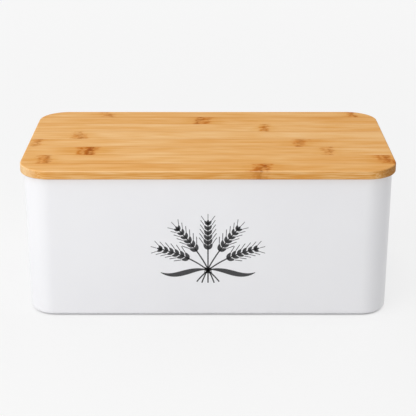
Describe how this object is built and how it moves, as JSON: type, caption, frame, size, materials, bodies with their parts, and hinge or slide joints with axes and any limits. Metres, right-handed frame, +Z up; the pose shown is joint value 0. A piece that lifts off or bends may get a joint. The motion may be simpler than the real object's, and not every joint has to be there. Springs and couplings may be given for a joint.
{
  "type": "bread bin",
  "caption": "Long low bread bin with rounded corners: a hemmed steel tub with a turned bottom edge, closed by a lift-off bamboo board lid with a plug and seal inside the rim.",
  "frame": {"origin": "on the table under the middle of the bin, at the undersides of the foot pads", "axes": "+X along the length to the right, +Y from the front to the back, +Z up"},
  "size_m": [0.33, 0.18, 0.1395],
  "materials": {
    "coated_steel": "satin white powder coat",
    "bamboo": "sanded, thin satin varnish",
    "pad_silicone": "matte silicone",
    "seal_silicone": "matte translucent silicone"
  },
  "bodies": {
    "tub": {"tub_wall": "coated_steel", "base_panel": "coated_steel", "foot_pad_front_left": "pad_silicone", "foot_pad_front_right": "pad_silicone", "foot_pad_back_left": "pad_silicone", "foot_pad_back_right": "pad_silicone"},
    "lid": {"lid_stave_1": "bamboo", "lid_stave_2": "bamboo", "lid_stave_3": "bamboo", "lid_stave_4": "bamboo", "lid_stave_5": "bamboo", "lid_stave_6": "bamboo", "lid_stave_7": "bamboo", "lid_stave_8": "bamboo", "lid_seal": "seal_silicone"}
  },
  "joints": [
    {"name": "lid_lift", "type": "slide", "parent": "tub", "child": "lid", "axis": [0, 0, 1], "range_m": [0, 0.15]}
  ]
}
